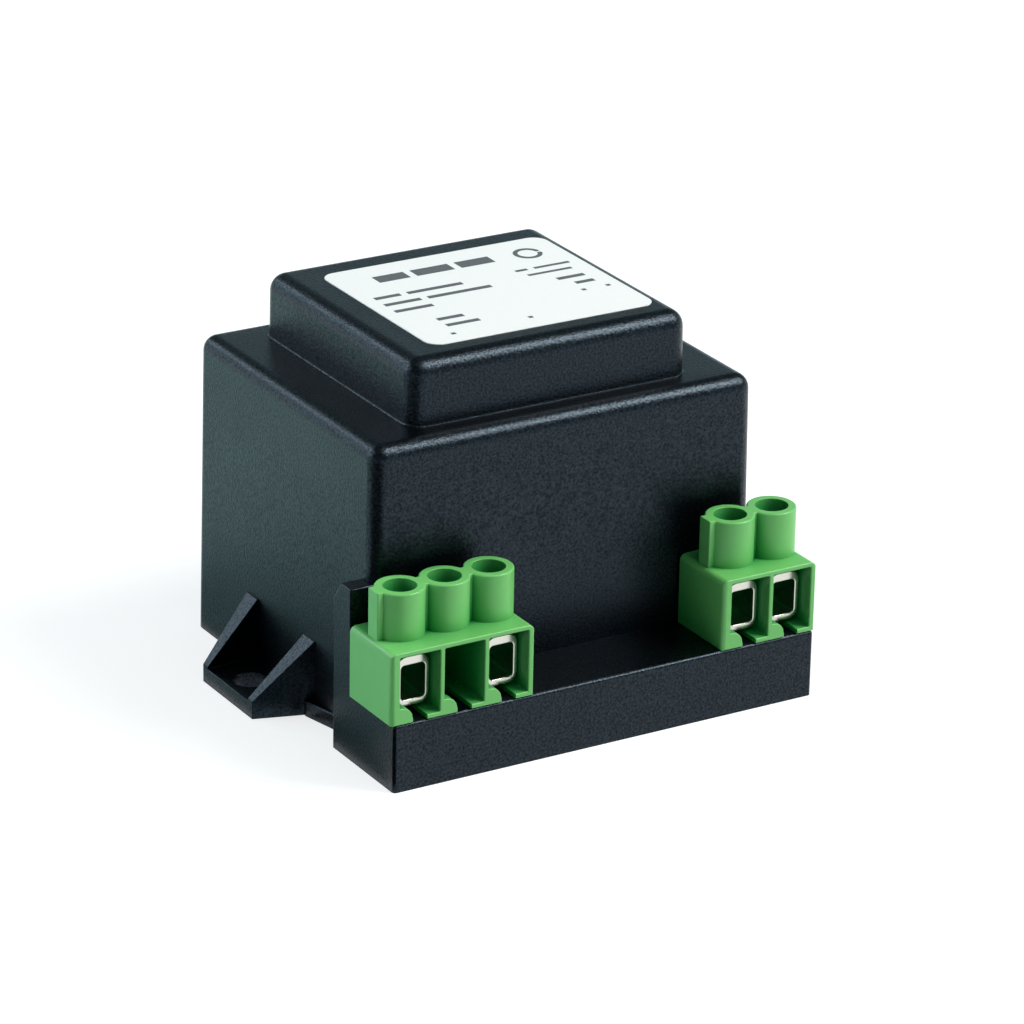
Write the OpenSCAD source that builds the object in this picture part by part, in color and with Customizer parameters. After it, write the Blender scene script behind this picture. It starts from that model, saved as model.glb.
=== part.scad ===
// Small potted mains transformer with screw terminals: a black moulded case on two fixing lugs, a shelf
// with two terminal blocks along its front, and an E and I core with a split bobbin cast in resin inside.
// Millimetres. X runs along the shelf, Y from the shelf to the back, Z up from the mounting plane.

/* [Core and coil] */
// Outer limb width of the laminations: the other limbs and the windows are whole multiples of it
lam_unit = 7; // [6.6:0.1:7.8]
// Height of the lamination stack
stack_h = 14.8; // [13:0.1:16]
// Room round the core in its case, and round the bobbin in the windows
core_gap = 0.15; // [0.1:0.05:0.3]
// Room between the bobbin's tube and the centre limb
limb_gap = 0.1; // [0.05:0.05:0.3]
// Wall of the bobbin's tube and of its flanges
bobbin_wall = 0.8; // [0.5:0.1:1.2]
// How far the bobbin's flanges stand above and below the stack
coil_rise = 6.5; // [5.5:0.1:7.5]
// Depth of the turns from the tube outwards
winding_build = 4.9; // [3.5:0.1:5.2]
// Thickness of the tape over each winding
tape_t = 0.3; // [0.1:0.1:0.4]
// How far each terminal rail reaches over the core
rail_d = 2.6; // [2:0.1:4]
// Height of a terminal rail
rail_h = 4; // [2.5:0.1:5]
// Room between a terminal rail and the core
rail_gap = 0.2; // [0.1:0.05:0.4]

/* [Case] */
// Height of the case without its dome
case_h = 32.5; // [30:0.5:38]
// Thickness of the case's side walls at their thinnest
case_wall = 0.85; // [0.6:0.05:2]
// How far each side leans in from foot to top
case_draft = 0.33; // [0.1:0.01:0.8]
// Radius of the case's edges
case_edge_r = 1.6; // [0.8:0.05:1.8]
// Thickness of the lid and of the dome's walls
lid_t = 1.2; // [0.9:0.1:2]
// Room between the core and the lid
lid_gap = 0.3; // [0.1:0.1:1]
// Room between the coil and the dome's sides
dome_gap = 1.1; // [0.5:0.05:2]
// Room between the coil and the dome's top
dome_top_gap = 0.6; // [0.3:0.1:1.5]
// Radius of the dome's edges
dome_edge_r = 1.3; // [0.8:0.1:1.7]
// How far each side of the dome leans in
dome_draft = 0.05; // [0.05:0.05:0.3]
// Depth of the resin's surface above the mounting plane
resin_recess = 0.8; // [0.4:0.1:1.2]

/* [Shelf and post] */
// Depth of the shelf in front of the case
shelf_d = 8.42; // [7.6:0.01:11]
// Height of the shelf
shelf_h = 7.2; // [6.4:0.1:8]
// How far the shelf stands out past each side of the case
shelf_side = 2.15; // [1.6:0.05:4]
// How far the shelf's ends run back along the case
shelf_return = 3.95; // [3.6:0.05:5]
// Thickness of the shelf's walls
shelf_wall = 1.2; // [0.8:0.1:1.5]
// Radius of the shelf's edges
shelf_edge_r = 0.35; // [0.2:0.05:0.6]
// Height of the post at the shelf's left back corner
post_h = 18.3; // [14:0.1:24]
// Depth of the post
post_d = 3.5; // [2.8:0.1:3.5]
// Length of the level part of the post's top
post_flat = 2; // [1:0.1:2.4]
// Fall of the sloped part of the post's top
post_fall = 2; // [0.5:0.1:4]

/* [Fixing lugs] */
// How far each lug reaches out from the case
lug_reach = 6.1; // [5.6:0.1:8]
// Width of a lug at its tip
lug_tip_w = 10.7; // [9.5:0.1:12]
// Width of a lug at the case
lug_root_w = 14.7; // [13:0.1:16]
// Thickness of a lug's floor
lug_t = 1.67; // [1.2:0.01:2.4]
// Height of the lug's ribs at the case
rib_h = 8; // [5:0.1:12]
// Thickness of a rib at the tip
rib_tip_t = 1.05; // [0.7:0.05:1.4]
// Thickness of a rib at the case
rib_root_t = 2.4; // [1.4:0.1:2.8]
// Diameter of the screw hole in a lug
hole_d = 3.6; // [3:0.1:4.3]
// Distance of the screw hole from the case
hole_reach = 3.47; // [3:0.01:3.8]
// Width of the foot flange where it leaves the lug
flange_w = 1; // [0.6:0.05:1.8]
// Length of the foot flange from the lug forwards
flange_l = 4.4; // [2:0.1:6]

/* [Terminal blocks] */
// Distance from pole to pole
pole_pitch = 5; // [4.8:0.1:6]
// Height of a block without its chimneys
block_h = 7.6; // [7.2:0.1:9]
// Room between a block and the case
block_gap = 0.12; // [0.05:0.01:0.4]
// Thickness of the walls between poles
divider_t = 0.5; // [0.4:0.05:0.7]
// Thickness of a block's left end
end_wall_t = 1.05; // [0.8:0.05:1.3]
// Thickness of a block's right end
right_wall_t = 0.6; // [0.55:0.05:0.9]
// How far the left block stands out past the end of the shelf
block_proud = 0.4; // [0:0.05:0.5]
// Thickness of a block's back wall
back_wall_t = 0.6; // [0.4:0.05:0.8]
// Thickness of a block's floor
floor_t = 0.5; // [0.4:0.05:0.7]
// Thickness of a block's top plate
plate_t = 0.5; // [0.4:0.05:0.7]
// Radius of the top edges of a block's ends
block_edge_r = 0.7; // [0.3:0.05:0.9]
// Radius of the upright front edges of a block's ends
front_edge_r = 0.55; // [0.2:0.05:0.55]
// Distance of the screw axes behind a block's front
axis_depth = 4.72; // [4.4:0.01:4.9]
// Height of a chimney above the top plate
chimney_h = 5; // [4.8:0.1:8]
// Bore of a chimney
chimney_bore = 3.4; // [3.1:0.05:3.5]
// Wall of a chimney
chimney_wall = 0.85; // [0.5:0.05:0.85]
// Thickness of the web that joins the chimneys
web_t = 1.9; // [1:0.1:2.4]
// Reach of the web to the left of each chimney's axis
web_reach = 3; // [2.7:0.05:3.1]
// Width of the stop tab at the foot of each pole
tab_w = 1.45; // [1.2:0.05:1.8]
// Height of the stop tab
tab_h = 1.7; // [1.3:0.05:2.2]
// Depth of the stop tab
tab_d = 1.5; // [0.8:0.1:1.6]
// Radius of the stop tab's round end
tab_r = 1.2; // [0.6:0.05:1.2]

/* [Clamps] */
// Distance of a clamp box behind its block's front
box_recess = 1.9; // [1.8:0.1:2.4]
// Height of a clamp box above the shelf
box_lift = 0.9; // [0.8:0.05:1.2]
// Room between a clamp box and the top plate
box_headroom = 0.9; // [0.5:0.05:1.2]
// Room between a clamp box and the walls of its pole
box_gap = 0.17; // [0.1:0.01:0.3]
// Thickness of a clamp box's sides
box_side_t = 0.45; // [0.35:0.05:0.6]
// Thickness of a clamp box's threaded top
box_top_t = 0.95; // [0.7:0.05:1.2]
// Thickness of a clamp box's floor
box_floor_t = 0.7; // [0.4:0.05:0.9]
// Outer radius of a clamp box's bends
box_bend_r = 1.05; // [0.5:0.05:1.15]
// Diameter of a clamp screw's shank
screw_d = 2.5; // [2:0.1:2.6]
// Room round the shank in the clamp box
thread_gap = 0.05; // [0.02:0.01:0.1]
// Room round a screw's head in its chimney
head_gap = 0.15; // [0.1:0.01:0.3]
// Height of a screw's head
head_h = 1.4; // [1:0.1:1.5]
// Width of the driver slot
slot_w = 0.6; // [0.4:0.05:0.8]
// Depth of the driver slot
slot_depth = 0.7; // [0.4:0.05:0.9]
// Travel of a screw from open to clamped
screw_travel = 3; // [2:0.1:3.1]
// Room under a screw's head when it is fully down
head_stop = 0.15; // [0.1:0.05:0.3]
// Width of a solder pin
pin_w = 1; // [0.8:0.05:1.2]
// Thickness of a solder pin
pin_t = 0.8; // [0.5:0.05:1]
// Room round a solder pin in the floor and in the shelf
pin_gap = 0.1; // [0.05:0.01:0.15]
// Height of a solder pin's tip above the mounting plane
pin_tip_z = 1.9; // [1.4:0.1:2.2]

/* [Leads] */
// Diameter of a lead over its sleeve
lead_d = 0.8; // [0.5:0.05:0.9]
// Bend radius of a lead
lead_bend = 0.9; // [0.7:0.1:1]
// Depth of the upper lead runs below the shelf's top plate
lead_cover = 1.1; // [0.9:0.1:1.3]
// Distance from the solder pins back to the sideways lead runs
lead_reach = 2.5; // [2.2:0.1:3.2]
// Distance between the upper lead runs and the lower one
lead_step = 1.7; // [1.2:0.1:1.7]
// Distance of the outer leads from the end of the terminal rail
lead_inset = 1.2; // [0.8:0.1:1.6]
// Distance between two leads on the terminal rail
lead_pitch = 2.5; // [2:0.1:4]

/* [Label] */
// Thickness of the label
label_t = 0.1; // [0.05:0.05:0.2]
// Radius of the label's corners
label_r = 1.6; // [0.5:0.1:3]
// Margin from the dome's left side to the label
label_left = 4.2; // [1.8:0.05:8]
// Margin from the dome's right side to the label
label_right = 1.9; // [1.8:0.05:8]
// Margin from the dome's front to the label
label_front = 3.25; // [1.8:0.05:8]
// Margin from the dome's back to the label
label_back = 4.15; // [1.8:0.05:8]

/* [Hidden] */
$fn = 64;
// Facets to a full turn on the rounded edges of the moulded case
edge_fn = 32;
// Sides of a lead, and the steps in which it turns through a bend
lead_sides = 8;
bend_turns = [0 : 22.5 : 90];
// Length by which a cut runs past a face, and a joined shape into its carrier
bite = 0.4;

// Core: a scrapless E and I, six limb units wide and five deep
core_w = 6 * lam_unit;
core_d = 5 * lam_unit;
limb_w = 2 * lam_unit;
window_l = 3 * lam_unit;

// Case, centred on X, with the shelf's front and the case's back the same distance from the origin
cavity_w = core_w + 2 * core_gap;
cavity_d = core_d + 2 * core_gap;
case_w = cavity_w + 2 * (case_wall + case_draft);
case_d = cavity_d + 2 * (case_wall + case_draft);
front_y = -(shelf_d + case_d) / 2;
case_front = front_y + shelf_d;
case_y = case_front + case_d / 2;
cavity_front = case_y - cavity_d / 2;
cavity_top = case_h - lid_t;
shelf_w = case_w + 2 * shelf_side;
shelf_back = case_front + shelf_return;
shelf_cavity_top = shelf_h - shelf_wall;

// Coil, hung under the lid so that its upper half fills the dome
core_top = cavity_top - lid_gap;
core_z = core_top - stack_h;
core_mid_z = core_z + stack_h / 2;
core_front = case_y - core_d / 2;
bobbin_l = window_l - 2 * core_gap;
coil_w = limb_w + 2 * (lam_unit - core_gap);
coil_h = stack_h + 2 * coil_rise;
coil_top = core_top + coil_rise;
tube_in_w = limb_w + 2 * limb_gap;
tube_in_h = stack_h + 2 * limb_gap;
tube_w = tube_in_w + 2 * bobbin_wall;
tube_h = tube_in_h + 2 * bobbin_wall;
chamber_l = (bobbin_l - 3 * bobbin_wall) / 2;
rails_l = bobbin_l + 2 * rail_d;
rail_bottom_z = core_z - rail_gap - rail_h;
dome_cavity_w = coil_w + 2 * dome_gap;
dome_cavity_d = rails_l + 2 * dome_gap;
dome_cavity_top = coil_top + dome_top_gap;
dome_w = dome_cavity_w + 2 * lid_t;
dome_d = dome_cavity_d + 2 * lid_t;
dome_top = dome_cavity_top + lid_t;

// Terminal blocks, flush with the front of the shelf. The right one is flush with its end too.
primary_poles = 3;
secondary_poles = 2;
block_d = shelf_d - block_gap;
cell_w = pole_pitch - divider_t;
cell_d = block_d - back_wall_t;
primary_x = -shelf_w / 2 - block_proud;
secondary_x = shelf_w / 2 - block_w(secondary_poles);
axis_y = front_y + axis_depth;
block_top = shelf_h + block_h;
primary_axes = [pole_x(primary_x, 0), pole_x(primary_x, 2)];
secondary_axes = [pole_x(secondary_x, 0), pole_x(secondary_x, 1)];

// Clamps
box_w = 2 * (cell_w - pole_pitch / 2 - box_gap);
box_d = cell_d - box_gap - box_recess;
box_z = shelf_h + box_lift;
box_h = block_h - plate_t - box_headroom - box_lift;
box_top = box_z + box_h;
screw_tip_z = box_top - box_top_t;
head_z = box_top + screw_travel + head_stop;

// Leads, from the front terminal rail to the backs of the pins
rail_y = case_y - bobbin_l / 2 - rail_d / 2;
pin_back = axis_y + pin_t / 2;
outer_lead_x = coil_w / 2 - lead_inset;
lead_z = shelf_cavity_top - lead_cover;

function block_w(poles) = end_wall_t + poles * pole_pitch - divider_t + right_wall_t;
function pole_x(block_x, pole) = block_x + end_wall_t + (pole + 0.5) * pole_pitch;

// Flat rectangle with round corners, centred
module rounded_rect(w, h, r) {
    square([w - 2 * r, h], center = true);
    square([w, h - 2 * r], center = true);
    for (sx = [-1, 1], sy = [-1, 1])
        translate([sx * (w / 2 - r), sy * (h / 2 - r)])
            circle(r = r);
}

// Moulded block on the XY plane with a lean on its sides and round edges all over but underneath
module moulded_block(w, d, h, r, draft) {
    hull()
        for (sx = [-1, 1], sy = [-1, 1]) {
            translate([sx * (w / 2 - r), sy * (d / 2 - r), 0])
                cylinder(r = r, h = bite, $fn = edge_fn);
            translate([sx * (w / 2 - draft - r), sy * (d / 2 - draft - r), h - r])
                sphere(r = r, $fn = edge_fn);
        }
}

// Box that is centred in X and Y and stands at height z
module box_at(x, y, z, size) {
    translate([x - size[0] / 2, y - size[1] / 2, z])
        cube(size);
}

// Profile drawn in Y and Z, carried along X from x_from to x_to
module along_x(x_from, x_to) {
    translate([x_from, 0, 0])
        rotate([90, 0, 90])
            linear_extrude(x_to - x_from)
                children();
}

// Profile drawn in X and Z, carried along Y from y_from to y_to
module along_y(y_from, y_to) {
    translate([0, y_to, 0])
        rotate([90, 0, 0])
            linear_extrude(y_to - y_from)
                children();
}

// Everything that the resin can reach, from height z up: case, dome and shelf
module resin_space(z) {
    box_at(0, case_y, z, [cavity_w, cavity_d, cavity_top - z]);
    box_at(0, case_y, z, [dome_cavity_w, dome_cavity_d, dome_cavity_top - z]);
    shelf_in_w = shelf_w - 2 * shelf_wall;
    translate([-shelf_in_w / 2, front_y + shelf_wall, z])
        cube([shelf_in_w, shelf_d - shelf_wall + cavity_front - case_front + bite, shelf_cavity_top - z]);
}

// Fixing lug on the right: a floor between two ribs that fall to its tip, with the screw hole in between
module lug() {
    root_x = case_w / 2 - bite;
    tip_x = case_w / 2 + lug_reach;
    floor_cut = 2 * rib_h;
    root_in_w = lug_root_w - 2 * rib_root_t;
    tip_in_w = lug_tip_w - 2 * rib_tip_t;
    translate([0, case_y, 0])
        difference() {
            intersection() {
                linear_extrude(rib_h)
                    lug_plan(root_x, tip_x, lug_root_w, lug_tip_w);
                along_y(-lug_root_w, lug_root_w)
                    polygon([[root_x, 0], [tip_x, 0], [tip_x, lug_t], [case_w / 2, rib_h], [root_x, rib_h]]);
            }
            translate([0, 0, lug_t])
                linear_extrude(floor_cut)
                    lug_plan(root_x - bite, tip_x + bite, root_in_w, tip_in_w);
            translate([case_w / 2 + hole_reach, 0, -bite])
                cylinder(d = hole_d, h = floor_cut);
        }
}

module lug_plan(root_x, tip_x, root_w, tip_w) {
    polygon([[root_x, -root_w / 2], [tip_x, -tip_w / 2], [tip_x, tip_w / 2], [root_x, root_w / 2]]);
}

// Low flange along the foot of the case, tapering forwards from the right lug
module foot_flange() {
    lug_y = case_y - lug_root_w / 2;
    linear_extrude(lug_t)
        polygon([
            [case_w / 2 - bite, lug_y - flange_l],
            [case_w / 2, lug_y - flange_l],
            [case_w / 2 + flange_w, lug_y],
            [case_w / 2 + flange_w, lug_y + rib_root_t],
            [case_w / 2 - bite, lug_y + rib_root_t]
        ]);
}

// Post on the left, beside the case's front edge, with a top that slopes away to the back
module post() {
    post_front = shelf_back - post_d;
    along_x(-shelf_w / 2, case_draft + bite - case_w / 2)
        polygon([
            [post_front, 0],
            [shelf_back, 0],
            [shelf_back, post_h - post_fall],
            [post_front + post_flat, post_h],
            [post_front, post_h]
        ]);
}

module housing() {
    color("#1b2023")
        difference() {
            union() {
                translate([0, case_y, 0])
                    moulded_block(case_w, case_d, case_h, case_edge_r, case_draft);
                translate([0, case_y, cavity_top])
                    moulded_block(dome_w, dome_d, dome_top - cavity_top, dome_edge_r, dome_draft);
                translate([0, (front_y + shelf_back) / 2, 0])
                    moulded_block(shelf_w, shelf_back - front_y, shelf_h, shelf_edge_r, 0);
                for (side = [0, 1])
                    mirror([side, 0, 0]) {
                        lug();
                        foot_flange();
                    }
                post();
            }
            resin_space(-bite);
            for (x = concat(primary_axes, secondary_axes))
                box_at(x, axis_y, shelf_cavity_top - bite, [
                    pin_w + 2 * pin_gap, pin_t + 2 * pin_gap, shelf_wall + 2 * bite
                ]);
        }
}

module potting_compound() {
    color("#2a2622")
        difference() {
            resin_space(resin_recess);
            box_at(0, case_y, core_z, [core_w, core_d, stack_h]);
            box_at(0, case_y, core_mid_z - coil_h / 2, [coil_w, bobbin_l, coil_h]);
            rail_blocks();
            for (x = concat(primary_axes, secondary_axes))
                pin(x);
            primary_lead(0);
            primary_lead(1);
            secondary_lead(0);
            secondary_lead(1);
        }
}

module e_laminations() {
    color("#8b8f94")
        translate([0, core_front, core_z])
            linear_extrude(stack_h)
                difference() {
                    translate([-core_w / 2, lam_unit])
                        square([core_w, core_d - lam_unit]);
                    for (sx = [-1, 1])
                        translate([sx * 1.5 * lam_unit - lam_unit / 2, lam_unit - bite])
                            square([lam_unit, window_l + bite]);
                }
}

module i_laminations() {
    color("#7f8388")
        box_at(0, core_front + lam_unit / 2, core_z, [core_w, lam_unit, stack_h]);
}

// The four rails of the bobbin, over and under the core at the front and the back
module rail_blocks() {
    for (z = [rail_bottom_z, core_top + rail_gap])
        for (sy = [-1, 1])
            box_at(0, case_y + sy * (bobbin_l + rail_d) / 2, z, [coil_w, rail_d, rail_h]);
}

module bobbin() {
    color("#d8d2c0")
        difference() {
            union() {
                box_at(0, case_y, core_mid_z - tube_h / 2, [tube_w, bobbin_l, tube_h]);
                for (k = [-1, 0, 1])
                    box_at(0, case_y + k * (bobbin_l - bobbin_wall) / 2, core_mid_z - coil_h / 2, [
                        coil_w, bobbin_wall, coil_h
                    ]);
                rail_blocks();
            }
            box_at(0, case_y, core_mid_z - tube_in_h / 2, [tube_in_w, bobbin_l + 2 * bite, tube_in_h]);
        }
}

// Rectangular ring round the bobbin's tube, filling one chamber: sy is -1 for the front, 1 for the back
module coil_ring(sy, inside, outside) {
    mid_y = case_y + sy * (chamber_l + bobbin_wall) / 2;
    translate([0, 0, core_mid_z])
        along_y(mid_y - chamber_l / 2, mid_y + chamber_l / 2)
            difference() {
                ring_outline(outside);
                ring_outline(inside);
            }
}

// Outline of the bobbin's tube grown by a depth of turns, with corners as round as that depth
module ring_outline(depth) {
    if (depth > 0)
        rounded_rect(tube_w + 2 * depth, tube_h + 2 * depth, depth);
    else
        square([tube_w, tube_h], center = true);
}

module primary_winding() {
    color("#b5652b")
        coil_ring(1, 0, winding_build);
}

module secondary_winding() {
    color("#c47a3a")
        coil_ring(-1, 0, winding_build);
}

module primary_tape() {
    color("#d9b13b")
        coil_ring(1, winding_build, winding_build + tape_t);
}

module secondary_tape() {
    color("#d9c36a")
        coil_ring(-1, winding_build, winding_build + tape_t);
}

// Outline of a block's front, with its lower left corner at the origin and its top corners round
module block_outline(w) {
    square([w, block_h - block_edge_r]);
    translate([block_edge_r, 0])
        square([w - 2 * block_edge_r, block_h]);
    for (x = [block_edge_r, w - block_edge_r])
        translate([x, block_h - block_edge_r])
            circle(r = block_edge_r);
}

// Plan of a block, with its left back corner at the origin and its front corners round
module block_plan(w) {
    translate([0, front_edge_r - block_d])
        square([w, block_d - front_edge_r]);
    translate([front_edge_r, -block_d])
        square([w - 2 * front_edge_r, block_d]);
    for (x = [front_edge_r, w - front_edge_r])
        translate([x, front_edge_r - block_d])
            circle(r = front_edge_r);
}

// Stop tab at the left foot of a pole, round at its free end
module tab_outline() {
    square([tab_w - tab_r, tab_h]);
    square([tab_w, tab_h - tab_r]);
    intersection() {
        square([tab_w, tab_h]);
        translate([tab_w - tab_r, tab_h - tab_r])
            circle(r = tab_r);
    }
}

// Terminal housing with open poles at the front, a screw chimney over each, and a slot for each pin
module terminal_housing(block_x, poles) {
    chimney_r = chimney_bore / 2 + chimney_wall;
    chimney_z = block_top - plate_t;
    chimney_l = plate_t + chimney_h;
    slot_l = axis_depth + pin_t / 2 + pin_gap;
    pin_slot_w = (pole_pitch + pin_w) / 2 + pin_gap - tab_w;
    difference() {
        union() {
            difference() {
                translate([block_x, 0, shelf_h])
                    intersection() {
                        along_y(front_y, front_y + block_d)
                            block_outline(block_w(poles));
                        translate([0, front_y + block_d, 0])
                            linear_extrude(block_h)
                                block_plan(block_w(poles));
                    }
                for (pole = [0 : poles - 1])
                    translate([block_x + end_wall_t + pole * pole_pitch, front_y - bite, shelf_h + floor_t])
                        cube([cell_w, cell_d + bite, block_h - floor_t - plate_t]);
            }
            for (pole = [0 : poles - 1]) {
                x = pole_x(block_x, pole);
                translate([x - pole_pitch / 2, 0, shelf_h])
                    along_y(front_y, front_y + tab_d)
                        tab_outline();
                translate([x, axis_y, chimney_z])
                    cylinder(r = chimney_r, h = chimney_l);
                translate([x - web_reach, axis_y - web_t / 2, chimney_z])
                    cube([web_reach, web_t, chimney_l]);
            }
        }
        for (pole = [0 : poles - 1]) {
            x = pole_x(block_x, pole);
            translate([x, axis_y, chimney_z - bite])
                cylinder(d = chimney_bore, h = chimney_l + 2 * bite);
            translate([x - pole_pitch / 2 + tab_w, front_y - bite, shelf_h - bite])
                cube([pin_slot_w, slot_l + bite, floor_t + bite + pin_gap]);
        }
    }
}

module primary_terminal_housing() {
    color("#4fae4d")
        terminal_housing(primary_x, primary_poles);
}

module secondary_terminal_housing() {
    color("#4fae4d")
        terminal_housing(secondary_x, secondary_poles);
}

// Bent strip with a thick threaded top: the wire goes in at the front, under the screw
module clamp_box(x) {
    window_w = box_w - 2 * box_side_t;
    window_h = box_h - box_top_t - box_floor_t;
    box_front = front_y + box_recess;
    color("#d6d6d2")
        difference() {
            translate([x, 0, box_z])
                along_y(box_front, box_front + box_d)
                    difference() {
                        translate([0, box_h / 2])
                            rounded_rect(box_w, box_h, box_bend_r);
                        translate([-window_w / 2, box_floor_t])
                            square([window_w, window_h]);
                    }
            translate([x, axis_y, box_top - box_top_t - bite])
                cylinder(d = screw_d + 2 * thread_gap, h = box_top_t + 2 * bite);
        }
}

// Slotted cheese-head screw, drawn backed out with its tip level with the underside of the box's top
module clamp_screw(x) {
    head_d = chimney_bore - 2 * head_gap;
    color("#c9c9c4")
        translate([x, axis_y, 0])
            difference() {
                union() {
                    translate([0, 0, screw_tip_z])
                        cylinder(d = screw_d, h = head_z - screw_tip_z);
                    translate([0, 0, head_z])
                        cylinder(d = head_d, h = head_h);
                }
                box_at(0, 0, head_z + head_h - slot_depth, [head_d + 2 * bite, slot_w, slot_depth + bite]);
            }
}

// Flat solder pin, from the underside of a clamp box through the shelf
module pin(x) {
    color("#d9d4bd")
        box_at(x, axis_y, pin_tip_z, [pin_w, pin_t, box_z - pin_tip_z]);
}

// A lead is a list of rings from the terminal rail to the pin. Each ring holds its centre and the two unit
// vectors that span its circle. These are the rings of the bend from straight down to straight forward.
function drop_bend(x, z) = [
    for (turn = bend_turns)
        [
            [x, rail_y - lead_bend * (1 - cos(turn)), z + lead_bend * (1 - sin(turn))],
            [1, 0, 0],
            [0, -cos(turn), sin(turn)]
        ]
];

// Rings of a level bend round a centre, where turn is the lead's heading from the front towards one side:
// reach is -1 on the way out to that side and 1 on the way back to the front
function level_bend(centre, side, reach) = [
    for (turn = bend_turns)
        let (heading = reach < 0 ? turn : 90 - turn)
            [
                centre + reach * lead_bend * [side * cos(heading), sin(heading), 0],
                [cos(heading), side * sin(heading), 0],
                [0, 0, 1]
            ]
];

// Rings of a whole lead: down from the rail, forward into the shelf, sideways if its pin is not in line,
// and forward again to the pin
function lead_rings(start_x, pin_x, z) =
    let (side = sign(pin_x - start_x), crank_y = pin_back + lead_reach)
        concat(
            [[[start_x, rail_y, rail_bottom_z], [1, 0, 0], [0, -1, 0]]],
            drop_bend(start_x, z),
            side == 0 ? [] : level_bend([start_x + side * lead_bend, crank_y + lead_bend, z], side, -1),
            side == 0 ? [] : level_bend([pin_x - side * lead_bend, crank_y - lead_bend, z], side, 1),
            [[[pin_x, pin_back, z], [1, 0, 0], [0, 0, 1]]]
        );

// Round lead, swept through its rings
module lead(start_x, pin_x, z) {
    rings = lead_rings(start_x, pin_x, z);
    last = len(rings) - 1;
    corners = [0 : lead_sides - 1];
    polyhedron(
        points = [
            for (ring = rings, corner = corners)
                let (angle = 360 * corner / lead_sides)
                    ring[0] + lead_d / 2 * (cos(angle) * ring[1] + sin(angle) * ring[2])
        ],
        faces = concat(
            [[for (corner = corners) corner]],
            [[for (corner = corners) (last + 1) * lead_sides - 1 - corner]],
            [
                for (ring = [0 : last - 1], corner = corners)
                    let (
                        next = (corner + 1) % lead_sides,
                        here = ring * lead_sides,
                        there = here + lead_sides
                    )
                        [here + corner, there + corner, there + next, here + next]
            ]
        )
    );
}

module primary_lead(index) {
    color("#b23a30")
        if (index == 0)
            lead(-outer_lead_x, primary_axes[0], lead_z);
        else
            lead(primary_axes[1], primary_axes[1], lead_z);
}

module secondary_lead(index) {
    color("#2f5ea8")
        if (index == 0)
            lead(outer_lead_x, secondary_axes[0], lead_z);
        else
            lead(outer_lead_x - lead_pitch, secondary_axes[1], lead_z - lead_step);
}

module rating_label() {
    label_w = dome_w - label_left - label_right;
    label_d = dome_d - label_front - label_back;
    color("#f2f2ee")
        translate([(label_left - label_right) / 2, case_y + (label_front - label_back) / 2, dome_top])
            linear_extrude(label_t)
                rounded_rect(label_w, label_d, label_r);
}

housing();
potting_compound();
e_laminations();
i_laminations();
bobbin();
primary_winding();
secondary_winding();
primary_tape();
secondary_tape();
primary_terminal_housing();
secondary_terminal_housing();
clamp_box(primary_axes[0]);  // primary_clamp_box_1
clamp_box(primary_axes[1]);  // primary_clamp_box_2
clamp_box(secondary_axes[0]);  // secondary_clamp_box_1
clamp_box(secondary_axes[1]);  // secondary_clamp_box_2
clamp_screw(primary_axes[0]);  // primary_clamp_screw_1
clamp_screw(primary_axes[1]);  // primary_clamp_screw_2
clamp_screw(secondary_axes[0]);  // secondary_clamp_screw_1
clamp_screw(secondary_axes[1]);  // secondary_clamp_screw_2
pin(primary_axes[0]);  // primary_pin_1
pin(primary_axes[1]);  // primary_pin_2
pin(secondary_axes[0]);  // secondary_pin_1
pin(secondary_axes[1]);  // secondary_pin_2
primary_lead(0);  // primary_lead_1
primary_lead(1);  // primary_lead_2
secondary_lead(0);  // secondary_lead_1
secondary_lead(1);  // secondary_lead_2
rating_label();
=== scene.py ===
"""Looks of a small potted mains transformer with screw terminals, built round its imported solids.

The black case, the green terminal housings, the clamp boxes, the clamp screws and the label are new surfaces,
worked out with numpy in the same frame, in metres. Every other solid stays as it is and gets its finish.
"""
import math

import bpy
import numpy as np
from mathutils import Matrix, Vector


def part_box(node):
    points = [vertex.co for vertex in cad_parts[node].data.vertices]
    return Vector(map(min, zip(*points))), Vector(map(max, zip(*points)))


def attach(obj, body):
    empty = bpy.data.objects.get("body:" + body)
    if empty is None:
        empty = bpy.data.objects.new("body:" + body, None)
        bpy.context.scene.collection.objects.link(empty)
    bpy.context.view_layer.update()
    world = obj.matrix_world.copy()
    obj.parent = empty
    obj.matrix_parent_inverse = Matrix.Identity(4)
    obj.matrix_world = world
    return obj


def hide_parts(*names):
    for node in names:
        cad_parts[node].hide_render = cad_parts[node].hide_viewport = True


bl_info = {
    "name": "Potted Transformer Looks",
    "version": (1, 0, 0),
    "blender": (4, 5, 0),
    "location": "View3D > Sidebar > Transformer",
    "description": "Builds the mouldings, clamps, label and studio of a potted transformer round its solids",
    "category": "Object",
}

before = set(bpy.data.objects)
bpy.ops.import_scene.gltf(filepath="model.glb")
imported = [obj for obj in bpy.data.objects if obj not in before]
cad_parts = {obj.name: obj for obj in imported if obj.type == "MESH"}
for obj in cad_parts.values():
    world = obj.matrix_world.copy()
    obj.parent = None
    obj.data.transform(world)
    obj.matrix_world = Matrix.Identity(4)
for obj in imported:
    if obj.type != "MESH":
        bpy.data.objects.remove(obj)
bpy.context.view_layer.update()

MM = 0.001
FIXED_BODY = "transformer"
BLOCKS = ["primary", "secondary"]
POLES = ["primary_{}_1", "primary_{}_2", "secondary_{}_1", "secondary_{}_2"]
# Length by which a cut runs past a face, and a joined solid into its carrier
BITE = 0.4 * MM


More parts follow.
